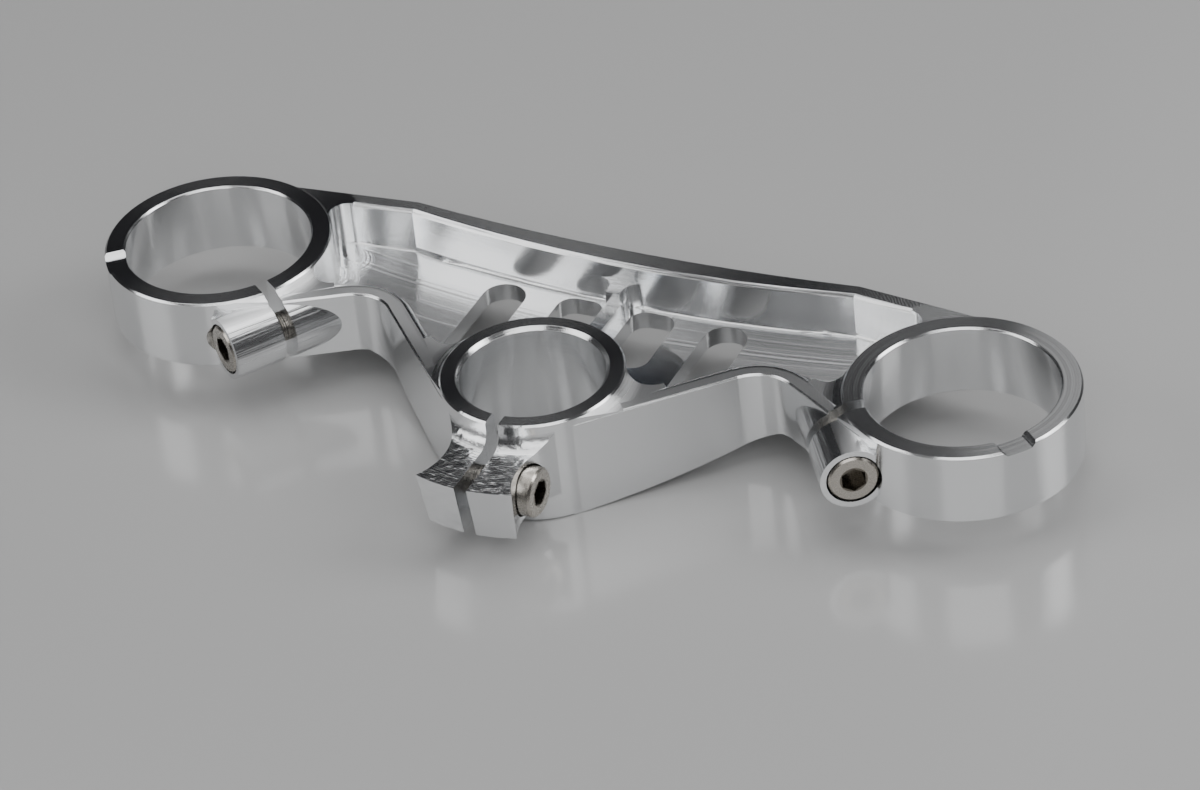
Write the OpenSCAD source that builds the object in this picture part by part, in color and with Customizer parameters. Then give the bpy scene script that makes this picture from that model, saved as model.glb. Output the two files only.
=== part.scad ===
// Triple clamp (fork yoke) for a motorcycle: one machined aluminium body and three pinch bolts.
// Millimetres, Z up along the fork tubes. The origin lies midway between the two fork tubes,
// on the plane of the clamp tops; X runs across the forks and Y towards the back wall.

/* [Fork clamps] */
// Distance between the fork tube axes
fork_spacing = 214; // [200:1:230]
// Bore of each fork clamp
fork_bore_d = 50; // [43:0.5:54]
// Wall thickness of each fork clamp
fork_wall = 5.5; // [4.5:0.1:7]
// Height of each fork clamp
clamp_h = 20; // [18:0.5:26]
// Angle of the slit from the line between the forks
slit_angle = 35; // [30:1:40]
// Width of every slit
slit_w = 3.5; // [2:0.1:4.5]
// Angle of the notch in the clamp top
notch_angle = 40; // [30:1:60]
// Width of the notch at its floor
notch_w = 7; // [4:0.5:9]
// Depth of the notch
notch_depth = 1.4; // [0.5:0.1:2]

/* [Stem clamp] */
// Distance of the stem axis in front of the fork line
stem_offset = 28; // [25:0.5:32]
// Bore of the stem clamp
stem_bore_d = 38; // [34:0.5:42]
// Wall thickness of the stem clamp
stem_wall = 5.1; // [4:0.1:6.5]
// Height of the stem clamp
stem_h = 30; // [27:0.5:34]
// Chamfer at the mouth of the stem bore
stem_chamfer = 1; // [0.3:0.1:1.5]

/* [Front lug] */
// Width of the lug that closes the stem clamp
lug_w = 28.8; // [26:0.2:31]
// Reach of the lug's top front edge from the stem axis
lug_reach = 43.7; // [42:0.1:46]
// Depth of the lug's top below the clamp tops
lug_drop = 6.7; // [5:0.1:8]
// Height of the lug
lug_h = 15.5; // [15:0.5:18]
// Radius of the hollow in each side of the lug
hollow_r = 19; // [17:0.5:21]
// Distance from the middle to the bottom of those hollows
neck = 10.4; // [10:0.1:11]
// Radius between the lug's top and the stem clamp
lug_fillet = 4; // [2:0.5:5]
// How far the foot of the lug's front face leans back
lug_lean = 2.3; // [0:0.1:3]

/* [Walls and web] */
// Depth of the wall tops below the clamp tops
wall_drop = 2; // [1:0.1:3]
// Depth of the pocket floor below the clamp tops
floor_depth = 15; // [13:0.5:16]
// Front face of the back wall at the middle, behind the fork line
back_y = 25; // [24:0.2:27]
// Thickness of the back wall at the middle
back_t = 6.2; // [5:0.1:8]
// Thickness of the back wall beyond its bends
back_end_t = 4.3; // [3.5:0.1:5]
// Distance of the back wall's bends from the middle
bend_x = 64.4; // [60:0.2:68]
// How far the back wall's front face bows back at its bends
back_bow = 5.5; // [4:0.1:7]
// Chamfer along the back wall's top, on the pocket side
back_chamfer = 1; // [0.4:0.1:1.5]
// Thickness of the two front arms
arm_t = 6.2; // [5:0.1:7]
// Angle of the arms where they leave the stem clamp
arm_angle = 45; // [42:0.5:48]
// Angle at which the arms run down to the fork clamps
tail_angle = 30; // [27:0.5:33]
// Radius of the arms' outer elbow
elbow_r = 11; // [8:0.5:14]
// Radius along the arms' top inner edge
arm_round = 3; // [1:0.1:3.5]
// Radius of the arms' curved underside
belly_r = 118; // [105:1:130]
// Distance from the middle at which the underside starts to rise
belly_x = 12; // [8:0.5:15]
// Radius in the corners of the pocket
corner_r = 5; // [3:0.5:6]
// Fillet where the walls meet the pocket floor
floor_fillet = 1.2; // [0.5:0.1:2]
// Radius of the round between a clamp and the wall tops
collar_r = 8.3; // [5:0.1:10]

/* [Web slots] */
// Centre of the outer slots from the middle
outer_slot_x = 32.2; // [30:0.2:34]
// Width of the outer slots
outer_slot_w = 12; // [9:0.5:13]
// Rear end of the outer slots, behind the fork line
outer_slot_back = 24.1; // [22:0.1:25]
// Front end of the outer slots, in front of the fork line
outer_slot_front = 14; // [8:0.5:15]
// Inner side of the inner slots
inner_slot_near = 4; // [3:0.2:5]
// Width of the inner slots
inner_slot_w = 13; // [10:0.5:14]
// Rear end of the inner slots, behind the fork line
inner_slot_back = 23.6; // [22:0.1:24]
// Corner radius of the inner slots
inner_slot_r = 4.5; // [3:0.5:5]
// Web left between the stem clamp and the inner slots
inner_slot_web = 5.4; // [4:0.2:8]

/* [Centre rib] */
// Thickness of the centre rib
rib_t = 4; // [3:0.2:5]
// Depth of the rib's top below the clamp tops
rib_drop = 11; // [9:0.5:13]
// Depth of the rib's rear pad below the clamp tops
pad_drop = 7.4; // [6:0.2:8.5]
// Radius that flares the pad into the back wall
pad_flare = 4; // [2:0.5:5]
// Length of the pad in front of the back wall
pad_l = 6; // [5:0.5:9]

/* [Pinch bolts] */
// Thread diameter
bolt_d = 8; // [6:1:8]
// Head diameter
head_d = 13; // [11:0.5:13.5]
// Head height
head_h = 8; // [7:0.5:8.5]
// Key size of the hexagon socket
hex_af = 6; // [5:0.5:7]
// Depth of the hexagon socket
hex_depth = 4; // [3:0.5:5]
// Length of the fork bolts under their heads
bolt_l = 20; // [18:1:20]
// How far each head stands out of its counterbore
head_proud = 0.3; // [0:0.1:1]
// Depth of the bolt axes below the clamp tops
bolt_drop = 11; // [10:0.5:12]
// Distance of the fork bolts from the fork axis
bolt_reach = 32; // [31.5:0.1:34]
// Length of the ear between the slit's middle and the boss's end
ear_l = 15.8; // [14:0.1:18]
// Wall of the boss around the counterbore
boss_wall = 1.5; // [1:0.1:2.5]
// Length of the stem bolt under its head
stem_bolt_l = 16; // [14:1:16]
// Distance of the stem bolt from the stem axis
stem_bolt_reach = 28.7; // [28:0.1:30]
// Depth of the stem bolt's axis below the clamp tops
stem_bolt_drop = 15; // [14:0.5:15.5]
// Play of the bolts in their clearance holes, on the diameter
bolt_play = 0.5; // [0.2:0.1:1]
// Play of the bolts in their threads, on the diameter
thread_play = 0.1; // [0.05:0.05:0.3]
// Gap around the heads in their counterbores
head_gap = 0.5; // [0.3:0.1:1]

/* [Edges] */
// Chamfer on the clamp edges
edge = 0.5; // [0.2:0.1:1]

/* [Hidden] */

// Facets for small rounds, for the clamps and for the long curves
fine = 48;
round_fn = 180;
long_fn = 360;
// Overlap that joins two solids, and overshoot of a cut
bite = 0.5;
over = 5;
// How far a face stands inside the one that it runs into
nip = 0.1;
// Length of wall that a collar may cover
collar_l = 16;

fork_x = fork_spacing / 2;
fork_r = fork_bore_d / 2;
ring_r = fork_r + fork_wall;
stem_r = stem_bore_d / 2;
boss_r = stem_r + stem_wall;
stem = [0, -stem_offset];
fork = [fork_x, 0];
wall_top = -wall_drop;
floor_z = -floor_depth;

// Unit vectors square to the arm and to its tail, both towards the pocket
arm_n = [-sin(arm_angle), cos(arm_angle)];
tail_n = [sin(tail_angle), cos(tail_angle)];
// Distances of the outer faces from the origin along those vectors
arm_k = arm_n * stem - boss_r + nip;
tail_k = tail_n * fork - ring_r + nip;
// Centre of the elbow, and the points where its arc meets the straight faces
elbow = meet(arm_n, arm_k - elbow_r, tail_n, tail_k - elbow_r);
arm_start = stem - (boss_r - nip) * arm_n;
arm_end = elbow + elbow_r * arm_n;
tail_start = elbow + elbow_r * tail_n;
tail_end = fork - (ring_r - nip) * tail_n;

// Front and rear faces of the back wall
back_in_r = (bend_x * bend_x + back_bow * back_bow) / (2 * back_bow);
bend_in = [bend_x, back_y + back_bow];
bend_out = [bend_x, bend_in[1] + back_end_t];
back_out_rise = bend_out[1] - back_y - back_t;
back_out_r = (bend_x * bend_x + back_out_rise * back_out_rise) / (2 * back_out_rise);
// Beyond the bend the rear face runs to the fork clamp as a tangent
end_span = fork - bend_out;
end_angle = atan2(end_span[1], end_span[0]) + asin((ring_r - nip) / norm(end_span));
end_dir = [cos(end_angle), sin(end_angle)];
end_n = [sin(end_angle), -cos(end_angle)];
end_l = end_dir * end_span;
// Face of the end wall towards the pocket, as a distance along end_n
end_k = end_n * bend_out + back_end_t;

// Fork bolts: across the slit, and through the ear
slit_dir = [-cos(slit_angle), -sin(slit_angle)];
bolt_dir = [sin(slit_angle), -cos(slit_angle)];
bolt_at = fork + bolt_reach * slit_dir;
bolt_turn = atan2(bolt_dir[1], bolt_dir[0]);
sink_r = head_d / 2 + head_gap;
bolt_boss_r = sink_r + boss_wall;
under_head = ear_l + head_proud - head_h;
stem_under_head = lug_w / 2 - head_h;
thread_reach = bolt_l - under_head + 1;

// Where two lines meet, each given by its unit normal and its distance from the origin
function meet(n1, k1, n2, k2) =
    let (d = n1[0] * n2[1] - n1[1] * n2[0])
    [(k1 * n2[1] - k2 * n1[1]) / d, (n1[0] * k2 - n2[0] * k1) / d];

// Centre of a circle of radius r that touches a line from its k side and a round boss from outside
function touch(n, k, r, c, boss, side) =
    let (d = k - n * c, t = [n[1], -n[0]], s = sqrt(pow(boss + r, 2) - d * d))
    c + d * n + side * s * t;

module both_sides() {
    children();
    mirror([1, 0, 0]) children();
}

// A round solid from z = 0 down, with its edges broken
module chamfered_disc(r, h, c) {
    rotate_extrude($fn = round_fn)
        polygon([[0, -h], [r - c, -h], [r, c - h], [r, -c], [r - c, 0], [0, 0]]);
}

// A through bore from z = 0 down, with a countersunk mouth at both ends
module chamfered_bore(r, h, top_c, low_c) {
    rotate_extrude($fn = round_fn)
        polygon([[0, -h - over], [r + low_c + over, -h - over], [r, low_c - h], [r, -top_c],
                 [r + top_c + over, over], [0, over]]);
}

// Section of an arm, drawn in by shy: u runs from the outer face to the pocket
module arm_section(low, shy) {
    h = wall_top - shy - low;
    r = arm_round - shy;
    flat_u = arm_t - arm_round;
    translate([0, low]) {
        difference() {
            translate([shy, 0]) square([flat_u - shy, h]);
            translate([shy, h]) rotate(45) square(edge * sqrt(2), center = true);
        }
        translate([flat_u - bite, 0]) square([r + bite, h - r]);
        translate([flat_u, h - r]) circle(r, $fn = fine);
    }
}

// A straight wall with that section, from p along direction angle a
module arm_straight(p, a, l, low) {
    translate([p[0], p[1], 0])
        rotate([90, 0, a + 90])
            linear_extrude(l) arm_section(low, 0);
}

// The elbow starts inside one straight wall and ends inside the other
module arm_elbow(low) {
    more = atan(bite / elbow_r);
    translate([elbow[0], elbow[1], 0])
        rotate([0, 0, 90 - tail_angle - more])
            rotate_extrude(angle = arm_angle + tail_angle + 2 * more, $fn = round_fn)
                translate([elbow_r, 0]) arm_section(low, nip);
}

// The underside of an arm curves up from the stem clamp to the fork clamp
module above_belly() {
    intersection() {
        children();
        union() {
            translate([0, -fork_x, -clamp_h]) cube([fork_spacing, fork_spacing, clamp_h]);
            translate([belly_x, fork_x, belly_r - stem_h])
                rotate([90, 0, 0]) cylinder(r = belly_r, h = fork_spacing, $fn = long_fn);
        }
    }
}

module arm() {
    above_belly() arm_straight(arm_start, arm_angle, norm(arm_end - arm_start), -stem_h);
    above_belly() arm_elbow(-stem_h);
    above_belly() arm_straight(tail_start, -tail_angle, norm(tail_end - tail_start), -stem_h);
}

// Fills the corner between the arm and the stem clamp, leaving a round
module arm_stem_corner(low, top) {
    r = corner_r + 2;
    k = arm_k + arm_t + r;
    c = touch(arm_n, k, r, stem, boss_r, 1);
    on_arm = c - r * arm_n;
    on_stem = stem + boss_r * (c - stem) / norm(c - stem);
    far = stem - (boss_r - 1) * arm_n;
    corner_fill(low, top, [stem, on_stem, c, on_arm, on_arm - 2 * arm_n, far], c, r);
}

// Fills the corner between the arm's tail and the fork clamp, leaving a round
module tail_fork_corner(low, top) {
    k = tail_k + arm_t + corner_r;
    c = touch(tail_n, k, corner_r, fork, ring_r, -1);
    on_tail = c - corner_r * tail_n;
    on_fork = fork + ring_r * (c - fork) / norm(c - fork);
    far = fork - (ring_r - 1) * tail_n;
    corner_fill(low, top, [fork, on_fork, c, on_tail, on_tail - 2 * tail_n, far], c, corner_r);
}

// Fills the corner between the end wall and the fork clamp, leaving a round
module end_fork_corner(low, top) {
    k = end_k + corner_r - nip;
    c = touch(end_n, k, corner_r, fork, ring_r, 1);
    on_end = c - corner_r * end_n;
    on_fork = fork + ring_r * (c - fork) / norm(c - fork);
    far = fork - (ring_r - 1) * end_n;
    corner_fill(low, top, [fork, on_fork, c, on_end, on_end - 2 * end_n, far], c, corner_r);
}

module corner_fill(low, top, points, c, r) {
    difference() {
        translate([0, 0, low]) linear_extrude(top - low) polygon(points);
        translate([c[0], c[1], low - over])
            cylinder(r = r, h = clamp_h + 2 * over, $fn = round_fn);
    }
}

// The bowed middle of the back wall, between its bends
module back_wall_middle() {
    h = clamp_h - wall_drop;
    intersection() {
        difference() {
            translate([0, back_y + back_in_r, -clamp_h])
                rotate_extrude($fn = long_fn)
                    polygon([[0, 0], [back_in_r, 0], [back_in_r, h - back_chamfer],
                             [back_in_r - back_chamfer, h], [0, h]]);
            translate([0, back_y + back_t + back_out_r, -clamp_h - over])
                cylinder(r = back_out_r, h = h + 2 * over, $fn = long_fn);
        }
        translate([-bend_x, 0, -clamp_h - over]) cube([2 * bend_x, fork_spacing / 2, h + 2 * over]);
    }
}

// The straight end of the back wall, which runs into the fork clamp
module back_wall_end() {
    intersection() {
        end_run() {
            h = clamp_h - wall_drop;
            translate([0, -clamp_h])
                polygon([[0, 0], [back_end_t, 0], [back_end_t, h - back_chamfer],
                         [back_end_t - back_chamfer, h], [0, h]]);
        }
        translate([bend_x - bite, 0, -clamp_h]) cube([fork_x, fork_x, clamp_h]);
    }
}

// Draws a section out along the end wall: u runs from its rear face to the pocket
module end_run() {
    start = bend_out - back_end_t * end_dir;
    translate([start[0], start[1], 0])
        rotate([90, 0, atan2(end_n[1], end_n[0])])
            mirror([0, 0, 1])
                linear_extrude(end_l + back_end_t) children();
}

// The plate under the pocket, out to the middle of every wall
module web() {
    u = 0.6 * arm_t;
    translate([0, 0, -clamp_h])
        linear_extrude(clamp_h - floor_depth)
            polygon([stem, arm_start + u * arm_n, elbow + (elbow_r + u) * arm_n,
                     elbow + (elbow_r + u) * tail_n, tail_end + u * tail_n, fork,
                     bend_out + end_l * end_dir + 2 * end_n, bend_out - [0, 2],
                     [0, back_y + 2]]);
}

// Small round where the back wall's middle meets the floor
module back_floor_fillet() {
    intersection() {
        translate([0, back_y + back_in_r, floor_z])
            rotate_extrude($fn = long_fn)
                translate([back_in_r, 0]) cove(floor_fillet);
        translate([-bend_x, 0, floor_z - over]) cube([2 * bend_x, fork_x, 2 * over]);
    }
}

// The same round along the end wall
module end_floor_fillet() {
    intersection() {
        end_run() translate([back_end_t - nip, floor_z - nip]) cove(floor_fillet);
        translate([bend_x - bite, 0, floor_z - over]) cube([fork_x - bend_x, fork_x, 2 * over]);
    }
}

// Section of a concave round that fills the corner at the origin, towards +u and +z
module cove(r) {
    difference() {
        translate([-bite, -bite]) square(r + bite);
        translate([r, r]) circle(r, $fn = fine);
    }
}

// The centre rib, with a pad that flares into the back wall
module rib() {
    h = floor_depth - rib_drop;
    translate([-rib_t / 2, -stem_offset + boss_r - bite, floor_z - bite])
        cube([rib_t, back_y + stem_offset - boss_r + 2 * bite, h + bite]);
    half = rib_t / 2 + pad_flare;
    translate([0, back_y, floor_z - bite])
        difference() {
            translate([-half, -pad_l, 0])
                cube([2 * half, pad_l + bite, floor_depth - pad_drop + bite]);
            both_sides() {
                translate([half, -pad_flare, -over])
                    cylinder(r = pad_flare, h = floor_depth + over, $fn = fine);
                translate([rib_t / 2, -pad_l - over, -over])
                    cube([half, pad_l + over - pad_flare, floor_depth + over]);
            }
        }
}

module outer_slot() {
    r = outer_slot_w / 2;
    front = r - outer_slot_front;
    back = outer_slot_back - r;
    translate([0, 0, -clamp_h - over])
        linear_extrude(clamp_h + over - floor_depth + over) {
            translate([outer_slot_x, front]) circle(r, $fn = round_fn);
            translate([outer_slot_x, back]) circle(r, $fn = round_fn);
            translate([outer_slot_x - r, front]) square([2 * r, back - front]);
        }
}

module inner_slot() {
    r = inner_slot_r;
    near = inner_slot_near + r;
    far = inner_slot_near + inner_slot_w - r;
    back = inner_slot_back - r;
    reach = boss_r + inner_slot_web + r;
    near_y = sqrt(reach * reach - near * near) - stem_offset;
    far_y = sqrt(reach * reach - far * far) - stem_offset;
    // Square to the slot's front edge, towards the stem
    lean = atan2(far_y - near_y, far - near);
    out = (r - nip) * [sin(lean), -cos(lean)];
    translate([0, 0, -clamp_h - over])
        linear_extrude(clamp_h + over - floor_depth + over) {
            for (p = [[near, near_y], [far, far_y], [far, back], [near, back]])
                translate(p) circle(r, $fn = round_fn);
            polygon([[near, near_y] + out, [far, far_y] + out, [far, far_y], [far + r, far_y],
                     [far + r, back], [far, back + r], [near, back + r], [near - r, back],
                     [near - r, near_y], [near, near_y]]);
        }
}

// Concave round about a clamp's axis, from its wall down to the level at low
module collar(r, arc, low) {
    rise = min(arc, -edge - low);
    reach = sqrt(2 * arc * rise - rise * rise);
    rotate_extrude($fn = round_fn)
        difference() {
            translate([r - 1, low - bite]) square([reach + 1, bite + rise]);
            translate([r + reach, low + arc]) circle(arc, $fn = round_fn);
        }
}

// The tops of the walls next to a fork clamp, filled up to the clamp's top
module fork_collar() {
    low = wall_top - bite;
    intersection() {
        translate([fork_x, 0, 0]) collar(ring_r, collar_r, wall_top);
        union() {
            tail_fork_corner(low, 0);
            end_fork_corner(low, 0);
            wall_strip(low, tail_end, -tail_angle, tail_n, -collar_l, collar_l);
            end_run() translate([nip, low]) square([back_end_t - back_chamfer - nip, -low]);
        }
    }
}

module stem_collar() {
    low = wall_top - bite;
    intersection() {
        translate([0, -stem_offset, 0]) collar(boss_r, collar_r, wall_top);
        union() {
            arm_stem_corner(low, 0);
            wall_strip(low, arm_start, arm_angle, arm_n, 0, collar_l);
        }
    }
}

// The flat part of an arm's top, raised to z = 0, from p + a to p + a + l along the arm
module wall_strip(low, p, angle, n, a, l) {
    dir = [cos(angle), sin(angle)];
    q = p + a * dir + nip * n;
    w = (arm_t - arm_round - nip) * n;
    translate([0, 0, low]) linear_extrude(-low) polygon([q, q + l * dir, q + l * dir + w, q + w]);
}

// The lug seen from above, hollowed on both sides so that it runs into the arms
module lug_plan(h) {
    front = -stem_offset - lug_reach - over;
    cx = neck + hollow_r;
    cy = (arm_k + nip - hollow_r + sin(arm_angle) * cx) / cos(arm_angle);
    difference() {
        linear_extrude(h)
            polygon([[-lug_w / 2, front], [lug_w / 2, front], arm_start, stem,
                     [-arm_start[0], arm_start[1]]]);
        both_sides()
            translate([cx, cy, -over]) cylinder(r = hollow_r, h = h + 2 * over, $fn = round_fn);
    }
}

// The lug in front of the stem clamp, with a leaning round front
module lug() {
    intersection() {
        translate([0, -stem_offset, -lug_drop - lug_h])
            cylinder(r1 = lug_reach - lug_lean, r2 = lug_reach, h = lug_h, $fn = round_fn);
        translate([0, 0, -lug_drop - lug_h - over]) lug_plan(lug_h + 2 * over);
    }
}

// Blends the lug's top into the stem clamp
module lug_collar() {
    intersection() {
        translate([0, -stem_offset, 0]) collar(boss_r, lug_fillet, -lug_drop);
        translate([0, 0, -lug_drop - bite]) lug_plan(lug_drop);
    }
}

// The round boss along a fork bolt; it fades into the arm's tail
module bolt_boss() {
    intersection() {
        translate([bolt_at[0], bolt_at[1], -bolt_drop])
            rotate([0, 90, bolt_turn])
                translate([0, 0, -ear_l - thread_reach])
                    cylinder(r = bolt_boss_r, h = 2 * ear_l + thread_reach, $fn = round_fn);
        translate([fork_x, 0, -clamp_h])
            rotate([0, 0, 90 - tail_angle])
                translate([-fork_x - ring_r, -fork_x, 0])
                    cube([fork_x + arm_t, fork_spacing, clamp_h - wall_drop]);
    }
}

// Everything that a fork bolt needs cut away
module bolt_cuts() {
    translate([bolt_at[0], bolt_at[1], -bolt_drop])
        rotate([0, 90, bolt_turn]) {
            translate([0, 0, under_head]) cylinder(r = sink_r, h = ear_l + over, $fn = round_fn);
            cylinder(d = bolt_d + bolt_play, h = ear_l, $fn = round_fn);
            translate([0, 0, -thread_reach])
                cylinder(d = bolt_d + thread_play, h = thread_reach, $fn = round_fn);
        }
}

module stem_bolt_cuts() {
    translate([0, -stem_offset - stem_bolt_reach, -stem_bolt_drop])
        rotate([0, 90, 0]) {
            translate([0, 0, stem_under_head])
                cylinder(r = sink_r, h = lug_w, $fn = round_fn);
            cylinder(d = bolt_d + bolt_play, h = lug_w / 2, $fn = round_fn);
            translate([0, 0, -lug_w])
                cylinder(d = bolt_d + thread_play, h = lug_w, $fn = round_fn);
        }
}

module fork_slit() {
    translate([fork_x, 0, -clamp_h - over])
        rotate([0, 0, 180 + slit_angle])
            translate([fork_r - over, -slit_w / 2, 0])
                cube([bolt_boss_r + bolt_reach, slit_w, clamp_h + 2 * over]);
}

module stem_slit() {
    translate([-slit_w / 2, -stem_offset - lug_reach - over, -stem_h - over])
        cube([slit_w, lug_reach + over, stem_h + 2 * over]);
}

// Shallow notch across the top of a fork clamp, with sloping sides
module top_notch() {
    top_w = notch_w + 2 * notch_depth;
    translate([fork_x, 0, 0])
        rotate([90, 0, 90 - notch_angle])
            linear_extrude(ring_r + over)
                polygon([[-notch_w / 2, -notch_depth], [notch_w / 2, -notch_depth],
                         [top_w / 2, 0], [top_w / 2, over], [-top_w / 2, over], [-top_w / 2, 0]]);
}

module clamp_body() {
    color("gainsboro")
        difference() {
            union() {
                both_sides() {
                    translate([fork_x, 0, 0]) chamfered_disc(ring_r, clamp_h, edge);
                    arm();
                    arm_stem_corner(floor_z - bite, wall_top);
                    tail_fork_corner(-clamp_h, wall_top);
                    end_fork_corner(-clamp_h, wall_top);
                    fork_collar();
                    stem_collar();
                    back_wall_end();
                    end_floor_fillet();
                    web();
                    bolt_boss();
                }
                translate([0, -stem_offset, 0]) chamfered_disc(boss_r, stem_h, edge);
                back_wall_middle();
                back_floor_fillet();
                rib();
                lug();
                lug_collar();
            }
            both_sides() {
                translate([fork_x, 0, 0]) chamfered_bore(fork_r, clamp_h, edge, edge);
                fork_slit();
                bolt_cuts();
                outer_slot();
                inner_slot();
                top_notch();
            }
            translate([0, -stem_offset, 0])
                chamfered_bore(stem_r, stem_h, stem_chamfer, stem_chamfer);
            stem_slit();
            stem_bolt_cuts();
        }
}

// Socket-head cap screw along +Z, of length l, with its seat at z = 0
module pinch_bolt(l) {
    color("silver")
        difference() {
            union() {
                rotate_extrude($fn = round_fn)
                    polygon([[0, 0], [head_d / 2, 0], [head_d / 2, head_h - edge],
                             [head_d / 2 - edge, head_h], [0, head_h]]);
                rotate_extrude($fn = round_fn)
                    polygon([[0, -l], [bolt_d / 2 - edge, -l], [bolt_d / 2, edge - l],
                             [bolt_d / 2, bite], [0, bite]]);
            }
            translate([0, 0, head_h - hex_depth])
                cylinder(d = hex_af / cos(30), h = hex_depth + over, $fn = 6);
        }
}

module fork_pinch_bolt() {
    translate([bolt_at[0], bolt_at[1], -bolt_drop])
        rotate([0, 90, bolt_turn])
            translate([0, 0, under_head]) pinch_bolt(bolt_l);
}

module right_pinch_bolt() {
    fork_pinch_bolt();
}

module left_pinch_bolt() {
    mirror([1, 0, 0]) fork_pinch_bolt();
}

module stem_pinch_bolt() {
    translate([stem_under_head, -stem_offset - stem_bolt_reach, -stem_bolt_drop])
        rotate([0, 90, 0]) pinch_bolt(stem_bolt_l);
}

clamp_body();
left_pinch_bolt();
right_pinch_bolt();
stem_pinch_bolt();
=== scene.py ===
import math

import bpy
from mathutils import Matrix, Vector


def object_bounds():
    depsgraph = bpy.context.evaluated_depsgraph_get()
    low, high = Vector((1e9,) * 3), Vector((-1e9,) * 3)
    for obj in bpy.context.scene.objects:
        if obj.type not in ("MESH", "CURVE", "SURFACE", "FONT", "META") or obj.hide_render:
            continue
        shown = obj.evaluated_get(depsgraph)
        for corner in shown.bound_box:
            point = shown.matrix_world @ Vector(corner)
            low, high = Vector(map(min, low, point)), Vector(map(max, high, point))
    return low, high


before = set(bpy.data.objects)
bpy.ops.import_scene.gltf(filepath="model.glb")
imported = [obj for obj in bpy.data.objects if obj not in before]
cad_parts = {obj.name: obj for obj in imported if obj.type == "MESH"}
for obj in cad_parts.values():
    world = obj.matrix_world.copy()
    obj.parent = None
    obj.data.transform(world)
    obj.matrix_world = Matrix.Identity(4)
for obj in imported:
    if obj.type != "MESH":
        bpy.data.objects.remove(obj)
cad_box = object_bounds()


# Camera. A long lens from the front right looks down on the clamp and is rolled a little,
# which was worked out from the photograph. Angles are in degrees, and lengths in metres
# where no unit is named.
AZIMUTH = 28.75
ELEVATION = 35.847
ROLL = -6.283
DISTANCE = 1.375713
TARGET = Vector((0.008563, -0.009199, -0.018918))
LENS_MM = 159.03
SENSOR_MM = 36.0
FAR_CLIP = 20.0


def direction(azimuth, elevation):
    """Unit vector towards a point seen at these angles; azimuth 0 is the front, 90 the right."""
    a, e = math.radians(azimuth), math.radians(elevation)
    return Vector((math.sin(a) * math.cos(e), -math.cos(a) * math.cos(e), math.sin(e)))


to_camera = direction(AZIMUTH, ELEVATION)
level_right = Vector((0, 0, 1)).cross(to_camera).normalized()
level_up = to_camera.cross(level_right)
roll = math.radians(ROLL)
right = math.cos(roll) * level_right + math.sin(roll) * level_up
up = math.cos(roll) * level_up - math.sin(roll) * level_right
camera_data = bpy.data.cameras.new("camera")
camera_data.lens = LENS_MM
camera_data.sensor_width = SENSOR_MM
camera_data.sensor_fit = "HORIZONTAL"
camera_data.clip_end = FAR_CLIP
camera = bpy.data.objects.new("camera", camera_data)
bpy.context.collection.objects.link(camera)
camera.matrix_world = Matrix.LocRotScale(
    TARGET + DISTANCE * to_camera,
    Matrix((right, up, to_camera)).transposed().to_quaternion(),
    None)
bpy.context.scene.camera = camera


# Clamp body. It is milled from one block of aluminium and left bright, so it mirrors the
# room, blurred across the cutter's lines. The clamps are bored and faced round their own
# axes, the walls are cut with the side of an end mill, and the pocket floor with its end.
ALUMINIUM = "#EEEFF0"
BLUISH = "#BFC8D6"
MM = 0.001

# Places on the body, which tell one cut surface from the next. An NZ is the upward part of
# a surface's normal, which is 1 on a level face and 0 on a wall
FORK_X_MM = 107.0
STEM_Y_MM = -28.0
FORK_CLAMP_R_MM = 40.0
RIM_FROM_Y_MM = 12.0
BELOW_TOP_MM = -1.5
FLOOR_BELOW_MM = -8.0
BOSS_TOP_MM = -5.2
BOSS_REACH_MM = 2.8
LUG_BACK_Y_MM = -48.0
STEM_BOSS_R_MM = 26.0
STEM_PASS_R_MM = 43.0
BACK_WALL_HALF_MM = 64.4
BACK_WALL_BOW_MM = 5.5
BOW_PER_MM = BACK_WALL_BOW_MM / BACK_WALL_HALF_MM ** 2
LEVEL_NZ = 0.95
SLOPE_NZ = 0.5
SLOPE_REACH_NZ = 0.44

# How the cutters went over it
LANE_MM = 9.0
CUTTER_R_MM = 5.0
CRESCENTS_PER_MM = 1.4
BANDS_PER_MM = 0.3
PASSES_PER_MM = 0.6
RINGS_PER_MM = 1.0
LINES_PER_MM = 1.1
ALONG_LINE_PER_MM = 0.03
STEP_MM = 0.8
WAVER_MM = 1.5
WAVERS_PER_MM = 0.25
SCALLOPS_PER_MM = 0.45

# How deep their marks are. Most are drawn deeper than real ones, and the finest also
# coarser, because those would be too fine to show in the picture
RING_DEEP_MM = 0.012
WALL_LINE_DEEP_MM = 0.03
SLOPE_LINE_DEEP_MM = 0.3
CRESCENT_DEEP_MM = 0.03
BAND_DEEP_MM = 0.25
PASS_DEEP_MM = 0.14
STEP_DEEP_MM = 0.005
SCALLOP_DEEP_MM = 0.2

# How dull each surface is, from 0 for a mirror, and how strongly its gloss is spread
RING_TOP_ROUGHNESS = 0.14
RIM_ROUGHNESS = 0.19
LAND_ROUGHNESS = 0.3
POCKET_ROUGHNESS = 0.22
STEM_PASS_ROUGHNESS = 0.2
WALL_ROUGHNESS = 0.18
SLOPE_ROUGHNESS = 0.22
SPREAD_ACROSS = 0.9


def linear(hex_colour):
    """An sRGB hex value as the linear colour that a shader takes."""
    parts = [int(hex_colour[i:i + 2], 16) / 255 for i in (1, 3, 5)]
    return [p / 12.92 if p <= 0.04045 else ((p + 0.055) / 1.055) ** 2.4 for p in parts] + [1.0]


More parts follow.
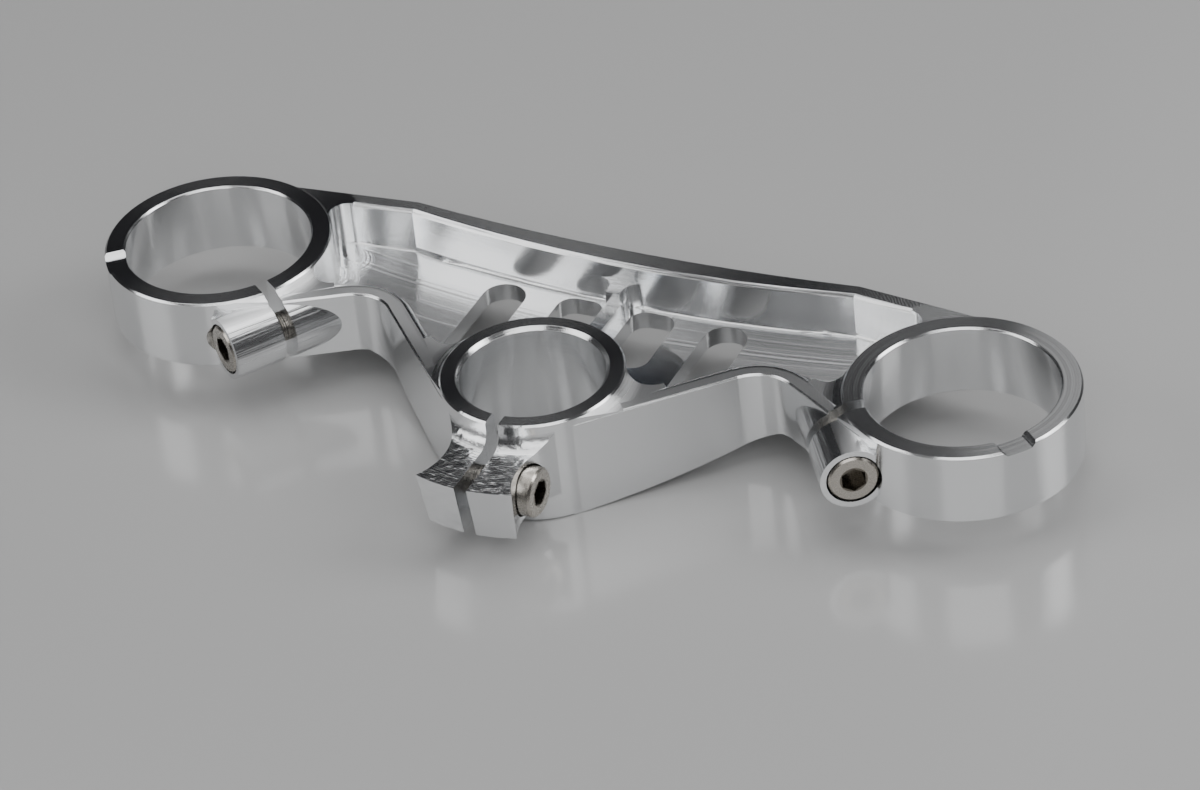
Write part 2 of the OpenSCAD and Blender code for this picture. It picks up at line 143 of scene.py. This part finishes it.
def add(tree, kind, inputs=(), **settings):
    """Adds a node, with its settings, and gives its inputs values or links."""
    made = tree.nodes.new(kind)
    for name, value in settings.items():
        setattr(made, name, value)
    pairs = inputs.items() if isinstance(inputs, dict) else enumerate(inputs)
    for key, value in pairs:
        if isinstance(value, bpy.types.Node):
            value = value.outputs[0]
        if isinstance(value, bpy.types.NodeSocket):
            tree.links.new(value, made.inputs[key])
        else:
            made.inputs[key].default_value = value
    return made


def new_material(name):
    """An empty material with its output node."""
    material = bpy.data.materials.new(name)
    material.use_nodes = True
    material.node_tree.nodes.clear()
    return material, material.node_tree, material.node_tree.nodes.new("ShaderNodeOutputMaterial")


bright_aluminium, tree, output = new_material("bright_milled_aluminium")
where = add(tree, "ShaderNodeTexCoord")
mm = add(tree, "ShaderNodeVectorMath", {0: where.outputs["Object"], "Scale": 1 / MM},
         operation="SCALE")
place = add(tree, "ShaderNodeSeparateXYZ", (mm,))
facing = add(tree, "ShaderNodeSeparateXYZ", (where.outputs["Normal"],))
x, y, z = place.outputs
side_x = add(tree, "ShaderNodeMath", (x,), operation="ABSOLUTE")
fork_dx = add(tree, "ShaderNodeMath", (side_x, FORK_X_MM), operation="SUBTRACT")
stem_dy = add(tree, "ShaderNodeMath", (y, STEM_Y_MM), operation="SUBTRACT")
from_fork = add(tree, "ShaderNodeCombineXYZ", (fork_dx, y))
from_stem = add(tree, "ShaderNodeCombineXYZ", (x, stem_dy))
fork_r = add(tree, "ShaderNodeVectorMath", (from_fork,), operation="LENGTH").outputs["Value"]
stem_r = add(tree, "ShaderNodeVectorMath", (from_stem,), operation="LENGTH").outputs["Value"]
upward = add(tree, "ShaderNodeMath", (facing.outputs["Z"], LEVEL_NZ),
             operation="GREATER_THAN")
at_fork = add(tree, "ShaderNodeMath", (fork_r, FORK_CLAMP_R_MM), operation="LESS_THAN")
radius = add(tree, "ShaderNodeMix", {"Factor": at_fork, 2: stem_r, 3: fork_r})

low = add(tree, "ShaderNodeMath", (z, FLOOR_BELOW_MM), operation="LESS_THAN")
by_stem = add(tree, "ShaderNodeMath", (stem_r, STEM_PASS_R_MM), operation="LESS_THAN")
tilt = add(tree, "ShaderNodeMath", (facing.outputs["Z"],), operation="ABSOLUTE")
sloping = add(tree, "ShaderNodeMath", (tilt, SLOPE_NZ, SLOPE_REACH_NZ), operation="COMPARE")

# The cutter's lines run along each wall, so a wall spreads its gloss up and down. A faced
# top spreads it away from the clamp's axis, and the pocket floor towards the back wall, or
# away from the stem clamp where the cutter went round that
outward = add(tree, "ShaderNodeMath", (x,), operation="SIGN")
fork_out = add(tree, "ShaderNodeMath", (fork_dx, outward), operation="MULTIPLY")
from_fork_out = add(tree, "ShaderNodeCombineXYZ", (fork_out, y))
radial = add(tree, "ShaderNodeMix", {"Factor": at_fork, 4: from_stem, 5: from_fork_out},
             data_type="VECTOR").outputs[1]
to_wall = add(tree, "ShaderNodeMix", {"Factor": by_stem, 4: (0, 1, 0), 5: from_stem},
              data_type="VECTOR").outputs[1]
level = add(tree, "ShaderNodeMix", {"Factor": low, 4: radial, 5: to_wall},
            data_type="VECTOR").outputs[1]
across_lines = add(tree, "ShaderNodeMix", {"Factor": upward, 4: (0, 0, 1), 5: level},
                   data_type="VECTOR").outputs[1]

# Faced ring tops: rings round each clamp's axis, a millimetre apart where real ones are
# about 0.3 mm apart
rings = add(tree, "ShaderNodeTexNoise", {"W": radius, "Scale": RINGS_PER_MM, "Detail": 2.0},
            noise_dimensions="1D")
faced = add(tree, "ShaderNodeMath", (rings, RING_DEEP_MM), operation="MULTIPLY")

# Side-milled walls: lines along the wall, about 0.9 mm apart in height, where real ones are
# about 0.4 mm apart. They are ten times as deep on the bosses, fillets and chamfers, which
# the cutter went over in steps
stretched = add(tree, "ShaderNodeMapping",
                {"Vector": mm,
                 "Scale": (ALONG_LINE_PER_MM, ALONG_LINE_PER_MM, LINES_PER_MM)})
lines = add(tree, "ShaderNodeTexNoise", {"Vector": stretched, "Scale": 1.0, "Detail": 2.0})
line_depth = add(tree, "ShaderNodeMapRange",
                 {"Value": sloping, "To Min": WALL_LINE_DEEP_MM,
                  "To Max": SLOPE_LINE_DEEP_MM})
side_milled = add(tree, "ShaderNodeMath", (lines, line_depth), operation="MULTIPLY")

# Pocket floor: the end mill went to and fro along the bowed back wall in lanes. It left
# crescents 0.7 mm apart across each lane, and soft bands about 3 mm wide along them. Its
# last passes went round the stem clamp.
x_squared = add(tree, "ShaderNodeMath", (x, x), operation="MULTIPLY")
bow = add(tree, "ShaderNodeMath", (x_squared, BOW_PER_MM), operation="MULTIPLY")
from_wall = add(tree, "ShaderNodeMath", (y, bow), operation="SUBTRACT")
in_lane = add(tree, "ShaderNodeMath", (from_wall, LANE_MM), operation="FLOORED_MODULO")
off_centre = add(tree, "ShaderNodeMath", (in_lane, LANE_MM / 2), operation="SUBTRACT")
off_squared = add(tree, "ShaderNodeMath", (off_centre, off_centre), operation="MULTIPLY")
ahead_squared = add(tree, "ShaderNodeMath", (CUTTER_R_MM ** 2, off_squared),
                    operation="SUBTRACT")
ahead = add(tree, "ShaderNodeMath", (ahead_squared,), operation="SQRT")
crescent = add(tree, "ShaderNodeMath", (x, ahead), operation="SUBTRACT")
crescents = add(tree, "ShaderNodeTexNoise",
                {"W": crescent, "Scale": CRESCENTS_PER_MM, "Detail": 1.0},
                noise_dimensions="1D")
bands = add(tree, "ShaderNodeTexNoise",
            {"W": from_wall, "Scale": BANDS_PER_MM, "Detail": 3.0},
            noise_dimensions="1D")
crescent_height = add(tree, "ShaderNodeMath", (crescents, CRESCENT_DEEP_MM),
                      operation="MULTIPLY")
lane_height = add(tree, "ShaderNodeMath", (bands, BAND_DEEP_MM, crescent_height),
                  operation="MULTIPLY_ADD")
passes = add(tree, "ShaderNodeTexNoise",
             {"W": stem_r, "Scale": PASSES_PER_MM, "Detail": 3.0},
             noise_dimensions="1D")
round_height = add(tree, "ShaderNodeMath", (passes, PASS_DEEP_MM), operation="MULTIPLY")
end_milled = add(tree, "ShaderNodeMix", {"Factor": by_stem, 2: lane_height, 3: round_height})

# Ball-milled lands and lug: steps round the nearest clamp, 0.8 mm apart, that waver a
# little. The lug also has scallops about 2 mm wide
waver = add(tree, "ShaderNodeTexNoise",
            {"Vector": mm, "Scale": WAVERS_PER_MM, "Detail": 2.0})
wavering = add(tree, "ShaderNodeMath", (waver, WAVER_MM, radius), operation="MULTIPLY_ADD")
step_turn = add(tree, "ShaderNodeMath", (wavering, math.tau / STEP_MM), operation="MULTIPLY")
steps = add(tree, "ShaderNodeMath", (step_turn,), operation="SINE")
on_lug = add(tree, "ShaderNodeMath", (y, LUG_BACK_Y_MM), operation="LESS_THAN")
scallops = add(tree, "ShaderNodeTexNoise",
               {"Vector": mm, "Scale": SCALLOPS_PER_MM, "Detail": 1.5})
scallop_height = add(tree, "ShaderNodeMath", (scallops, SCALLOP_DEEP_MM),
                     operation="MULTIPLY")
lug_height = add(tree, "ShaderNodeMath", (scallop_height, on_lug), operation="MULTIPLY")
ball_milled = add(tree, "ShaderNodeMath", (steps, STEP_DEEP_MM, lug_height),
                  operation="MULTIPLY_ADD")

# Each surface gets the marks of the cutter that made it. Heights are in mm
below_top = add(tree, "ShaderNodeMath", (z, BELOW_TOP_MM), operation="LESS_THAN")
hollow = add(tree, "ShaderNodeMath", (on_lug, sloping), operation="MULTIPLY")
at_boss = add(tree, "ShaderNodeMath", (z, BOSS_TOP_MM, BOSS_REACH_MM), operation="COMPARE")
not_lug = add(tree, "ShaderNodeMath", (1.0, on_lug), operation="SUBTRACT")
on_boss = add(tree, "ShaderNodeMath", (at_boss, not_lug), operation="MULTIPLY")
land_marks = add(tree, "ShaderNodeMix", {"Factor": on_boss, 2: ball_milled, 3: side_milled})
top_marks = add(tree, "ShaderNodeMix", {"Factor": below_top, 2: faced, 3: land_marks})
level_marks = add(tree, "ShaderNodeMix", {"Factor": low, 2: top_marks, 3: end_milled})
flat_marks = add(tree, "ShaderNodeMix", {"Factor": upward, 2: side_milled, 3: level_marks})
marks = add(tree, "ShaderNodeMix", {"Factor": hollow, 2: flat_marks, 3: ball_milled})
bump = add(tree, "ShaderNodeBump", {"Height": marks, "Strength": 1.0, "Distance": MM})

# Of the tops, the rings and the lug are the glossiest and the arms the dullest, with the
# back wall's rim between them
on_rim = add(tree, "ShaderNodeMath", (y, RIM_FROM_Y_MM), operation="GREATER_THAN")
land_roughness = add(tree, "ShaderNodeMapRange",
                     {"Value": on_rim, "To Min": LAND_ROUGHNESS,
                      "To Max": RIM_ROUGHNESS})
on_land = add(tree, "ShaderNodeMath", (below_top, not_lug), operation="MULTIPLY")
top_roughness = add(tree, "ShaderNodeMix",
                    {"Factor": on_land, 2: RING_TOP_ROUGHNESS, 3: land_roughness})
pocket_roughness = add(tree, "ShaderNodeMapRange",
                       {"Value": by_stem, "To Min": POCKET_ROUGHNESS,
                        "To Max": STEM_PASS_ROUGHNESS})
level_roughness = add(tree, "ShaderNodeMix",
                      {"Factor": low, 2: top_roughness, 3: pocket_roughness})
flat_roughness = add(tree, "ShaderNodeMix",
                     {"Factor": upward, 2: WALL_ROUGHNESS, 3: level_roughness})
roughness = add(tree, "ShaderNodeMix",
                {"Factor": sloping, 2: flat_roughness, 3: SLOPE_ROUGHNESS})

# The pocket floor is coloured bluer and darker next to the stem clamp, and this fades out
# over the floor
stem_floor_tint = add(tree, "ShaderNodeMapRange",
           {"Value": stem_r, "From Min": STEM_BOSS_R_MM, "From Max": STEM_PASS_R_MM,
            "To Min": 1.0, "To Max": 0.0})
level_stem_floor_tint = add(tree, "ShaderNodeMath", (stem_floor_tint, upward), operation="MULTIPLY")
pocket_stem_floor_tint = add(tree, "ShaderNodeMath", (level_stem_floor_tint, low), operation="MULTIPLY")
tint = add(tree, "ShaderNodeMix",
           {"Factor": pocket_stem_floor_tint, 6: linear(ALUMINIUM), 7: linear(BLUISH)},
           data_type="RGBA").outputs[2]
metal = add(tree, "ShaderNodeBsdfPrincipled",
            {"Base Color": tint, "Metallic": 1.0, "Roughness": roughness,
             "Anisotropic": SPREAD_ACROSS, "Normal": bump, "Tangent": across_lines})
tree.links.new(metal.outputs[0], output.inputs[0])

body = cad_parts["clamp_body"]
for entry in body.material_slots:
    entry.material = bright_aluminium


# Pinch bolts. Socket-head cap screws of stainless steel, M8 x 20 on the forks and M8 x 16 on
# the stem, each in its counterbore. They are warmer and duller than the body, with turned
# rings on the heads, sockets painted dark inside as painted shade, and a thread that shows
# in the slits.
STEEL = "#B9B4AC"
# Painted shade: the darker colour given to the inside of each socket
SOCKET_PAINTED_SHADE = "#77726A"
FORK_BOLT_X_MM = 80.79
FORK_BOLT_Y_MM = -18.35
FORK_BOLT_Z_MM = -11.0
FORK_SEAT_MM = 8.1
SLANT = math.radians(35.0)
STEM_BOLT_Y_MM = -56.7
STEM_BOLT_Z_MM = -15.0
STEM_SEAT_MM = 6.4
SOCKET_R_MM = 3.6
SHANK_R_MM = 4.1
PITCH_MM = 1.25
THREAD_DEEP_MM = 0.35
TURNED_PER_MM = 3.0
TURNED_DEEP_MM = 0.003
HANDLED_PER_MM = 0.8
HANDLED_LOW = 0.3
HANDLED_HIGH = 0.7
LEAST_ROUGHNESS = 0.24
MOST_ROUGHNESS = 0.3
BOLTS = (
    # node, a point of its axis, the way its head looks, and how far its head's seat is
    # from that point
    ("left_pinch_bolt", (-FORK_BOLT_X_MM, FORK_BOLT_Y_MM, FORK_BOLT_Z_MM),
     (-math.sin(SLANT), -math.cos(SLANT), 0.0), FORK_SEAT_MM),
    ("right_pinch_bolt", (FORK_BOLT_X_MM, FORK_BOLT_Y_MM, FORK_BOLT_Z_MM),
     (math.sin(SLANT), -math.cos(SLANT), 0.0), FORK_SEAT_MM),
    ("stem_pinch_bolt", (0.0, STEM_BOLT_Y_MM, STEM_BOLT_Z_MM),
     (1.0, 0.0, 0.0), STEM_SEAT_MM),
)

for name, point, axis, seat in BOLTS:
    stainless, tree, output = new_material("turned_stainless_steel_" + name.split("_")[0])
    where = add(tree, "ShaderNodeTexCoord")
    mm = add(tree, "ShaderNodeVectorMath", {0: where.outputs["Object"], "Scale": 1 / MM},
             operation="SCALE")

    # How far each place is from the bolt's axis, and how far along it
    from_point = add(tree, "ShaderNodeVectorMath", (mm, point), operation="SUBTRACT")
    across = add(tree, "ShaderNodeVectorMath", (from_point, axis), operation="CROSS_PRODUCT")
    axis_r = add(tree, "ShaderNodeVectorMath", (across,), operation="LENGTH").outputs["Value"]
    along = add(tree, "ShaderNodeVectorMath", (from_point, axis),
                operation="DOT_PRODUCT").outputs["Value"]

    # Turned rings a third of a millimetre apart, which are coarser than real ones, and on
    # the shank the thread at its real pitch
    rings = add(tree, "ShaderNodeTexNoise",
                {"W": axis_r, "Scale": TURNED_PER_MM, "Detail": 2.0},
                noise_dimensions="1D")
    turned = add(tree, "ShaderNodeMath", (rings, TURNED_DEEP_MM), operation="MULTIPLY")
    turns = add(tree, "ShaderNodeMath", (along, math.tau / PITCH_MM), operation="MULTIPLY")
    flanks = add(tree, "ShaderNodeMath", (turns,), operation="SINE")
    thread = add(tree, "ShaderNodeMath", (flanks, THREAD_DEEP_MM), operation="MULTIPLY")
    thin = add(tree, "ShaderNodeMath", (axis_r, SHANK_R_MM), operation="LESS_THAN")
    under = add(tree, "ShaderNodeMath", (along, seat), operation="LESS_THAN")
    on_shank = add(tree, "ShaderNodeMath", (thin, under), operation="MULTIPLY")
    marks = add(tree, "ShaderNodeMix", {"Factor": on_shank, 2: turned, 3: thread})
    bump = add(tree, "ShaderNodeBump", {"Height": marks, "Strength": 1.0, "Distance": MM})

    # Handling leaves patches that are a little duller, and the socket's inside is painted dark
    # as painted shade
    handled = add(tree, "ShaderNodeTexNoise",
                  {"Vector": mm, "Scale": HANDLED_PER_MM, "Detail": 4.0})
    roughness = add(tree, "ShaderNodeMapRange",
                    {"Value": handled, "From Min": HANDLED_LOW, "From Max": HANDLED_HIGH,
                     "To Min": LEAST_ROUGHNESS, "To Max": MOST_ROUGHNESS})
    # Where the socket's inside gets the painted shade colour
    narrow = add(tree, "ShaderNodeMath", (axis_r, SOCKET_R_MM), operation="LESS_THAN")
    above = add(tree, "ShaderNodeMath", (along, seat), operation="GREATER_THAN")
    socket_shade_mask = add(tree, "ShaderNodeMath", (narrow, above), operation="MULTIPLY")
    colour = add(tree, "ShaderNodeMix",
                 {"Factor": socket_shade_mask, 6: linear(STEEL), 7: linear(SOCKET_PAINTED_SHADE)},
                 data_type="RGBA").outputs[2]
    metal = add(tree, "ShaderNodeBsdfPrincipled",
                {"Base Color": colour, "Metallic": 1.0, "Roughness": roughness,
                 "Normal": bump})
    tree.links.new(metal.outputs[0], output.inputs[0])
    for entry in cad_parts[name].material_slots:
        entry.material = stainless


# Floor. A pale grey table top with a satin lacquer, which gives the clamp a soft mirror
# image. It runs far past the picture, and the clamp's underside rests on it.
FLOOR_Z = cad_box[0][2]
FLOOR_SIZE = 8.0
FLOOR_GREY = "#B0B0B0"
FLOOR_ROUGHNESS = 0.16

bpy.ops.object.select_all(action="DESELECT")
bpy.ops.mesh.primitive_plane_add(size=FLOOR_SIZE, location=(0, 0, FLOOR_Z))
floor = bpy.context.object
floor.name = "floor"
table_top, tree, output = new_material("satin_grey_table_top")
lacquer = add(tree, "ShaderNodeBsdfPrincipled",
              {"Base Color": linear(FLOOR_GREY), "Roughness": FLOOR_ROUGHNESS})
tree.links.new(lacquer.outputs[0], output.inputs[0])
floor.data.materials.append(table_top)


# Light. Large soft boxes hang overhead, in front and on both sides. A long one high behind
# lights the edges, and a weak one below it fills in. The rest of the room is dark, and the
# flat tops mirror that.
ROOM_GREY = "#242426"
BOXES = (
    # name, azimuth and elevation in degrees, distance, width and height in m, and watts
    ("overhead", 0, 86, 1.2, 1.1, 1.1, 6.4),
    ("back_top", 190, 67, 0.75, 1.2, 0.4, 1.9),
    ("front", 32, 38, 1.3, 1.1, 0.8, 6.4),
    ("left", -50, 32, 1.4, 0.8, 0.8, 5.2),
    ("right", 112, 34, 1.4, 0.6, 0.7, 7.0),
    ("back_fill", 178, 38, 1.3, 0.7, 0.5, 0.5),
)

for name, turn, rise, away, width, height, watts in BOXES:
    lamp = bpy.data.lights.new(name, "AREA")
    lamp.shape = "RECTANGLE"
    lamp.size, lamp.size_y = width, height
    lamp.energy = watts
    box = bpy.data.objects.new(name, lamp)
    bpy.context.collection.objects.link(box)
    towards = direction(turn, rise)
    box.location = away * towards
    box.rotation_euler = towards.to_track_quat("Z", "Y").to_euler()

world = bpy.data.worlds.new("room")
world.use_nodes = True
world.node_tree.nodes["Background"].inputs["Color"].default_value = linear(ROOM_GREY)
bpy.context.scene.world = world
